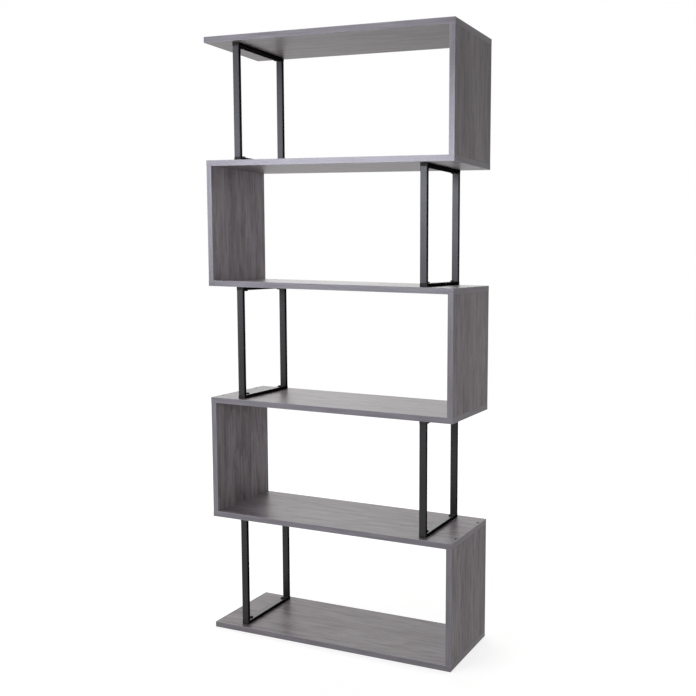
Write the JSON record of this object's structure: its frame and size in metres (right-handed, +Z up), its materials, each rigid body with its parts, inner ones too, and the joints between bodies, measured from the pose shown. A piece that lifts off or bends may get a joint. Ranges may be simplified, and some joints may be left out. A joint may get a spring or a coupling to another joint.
{
  "type": "zigzag bookshelf",
  "caption": "Tall open bookshelf with full-width shelves, side panels at alternate ends that make a zigzag, and a black steel tube frame carrying each open end.",
  "frame": {"origin": "middle of the footprint, on the floor", "axes": "+X to the right along the shelves seen from the front, +Y to the rear, +Z up"},
  "size_m": [0.76, 0.232, 1.686],
  "materials": {
    "grey_oak_laminate": "satin grey-oak woodgrain facing on particle board",
    "grey_oak_edge_band": "satin grey-oak woodgrain edge band",
    "black_powder_coat": "satin black powder coat",
    "black_plastic": "satin black moulded plastic",
    "black_fasteners": "black-coated steel",
    "zinc_inserts": "zinc-plated steel"
  },
  "bodies": {
    "root": {"shelf_1": "grey_oak_laminate", "shelf_1_edge_band": "grey_oak_edge_band", "shelf_2": "grey_oak_laminate", "shelf_2_edge_band": "grey_oak_edge_band", "shelf_3": "grey_oak_laminate", "shelf_3_edge_band": "grey_oak_edge_band", "shelf_4": "grey_oak_laminate", "shelf_4_edge_band": "grey_oak_edge_band", "shelf_5": "grey_oak_laminate", "shelf_5_edge_band": "grey_oak_edge_band", "shelf_6": "grey_oak_laminate", "shelf_6_edge_band": "grey_oak_edge_band", "side_panel_1": "grey_oak_laminate", "side_panel_1_edge_band": "grey_oak_edge_band", "side_panel_1_screws": "black_fasteners", "frame_1_front_upright": "black_powder_coat", "frame_1_rear_upright": "black_powder_coat", "frame_1_bottom_rail": "black_powder_coat", "frame_1_top_rail": "black_powder_coat", "frame_1_end_plugs": "black_plastic", "frame_1_bolts": "black_fasteners", "side_panel_2": "grey_oak_laminate", "side_panel_2_edge_band": "grey_oak_edge_band", "side_panel_2_screws": "black_fasteners", "frame_2_front_upright": "black_powder_coat", "frame_2_rear_upright": "black_powder_coat", "frame_2_bottom_rail": "black_powder_coat", "frame_2_top_rail": "black_powder_coat", "frame_2_end_plugs": "black_plastic", "frame_2_bolts": "black_fasteners", "side_panel_3": "grey_oak_laminate", "side_panel_3_edge_band": "grey_oak_edge_band", "side_panel_3_screws": "black_fasteners", "frame_3_front_upright": "black_powder_coat", "frame_3_rear_upright": "black_powder_coat", "frame_3_bottom_rail": "black_powder_coat", "frame_3_top_rail": "black_powder_coat", "frame_3_end_plugs": "black_plastic", "frame_3_bolts": "black_fasteners", "side_panel_4": "grey_oak_laminate", "side_panel_4_edge_band": "grey_oak_edge_band", "side_panel_4_screws": "black_fasteners", "frame_4_front_upright": "black_powder_coat", "frame_4_rear_upright": "black_powder_coat", "frame_4_bottom_rail": "black_powder_coat", "frame_4_top_rail": "black_powder_coat", "frame_4_end_plugs": "black_plastic", "frame_4_bolts": "black_fasteners", "side_panel_5": "grey_oak_laminate", "side_panel_5_edge_band": "grey_oak_edge_band", "side_panel_5_screws": "black_fasteners", "frame_5_front_upright": "black_powder_coat", "frame_5_rear_upright": "black_powder_coat", "frame_5_bottom_rail": "black_powder_coat", "frame_5_top_rail": "black_powder_coat", "frame_5_end_plugs": "black_plastic", "frame_5_bolts": "black_fasteners", "threaded_inserts": "zinc_inserts"}
  },
  "joints": []
}
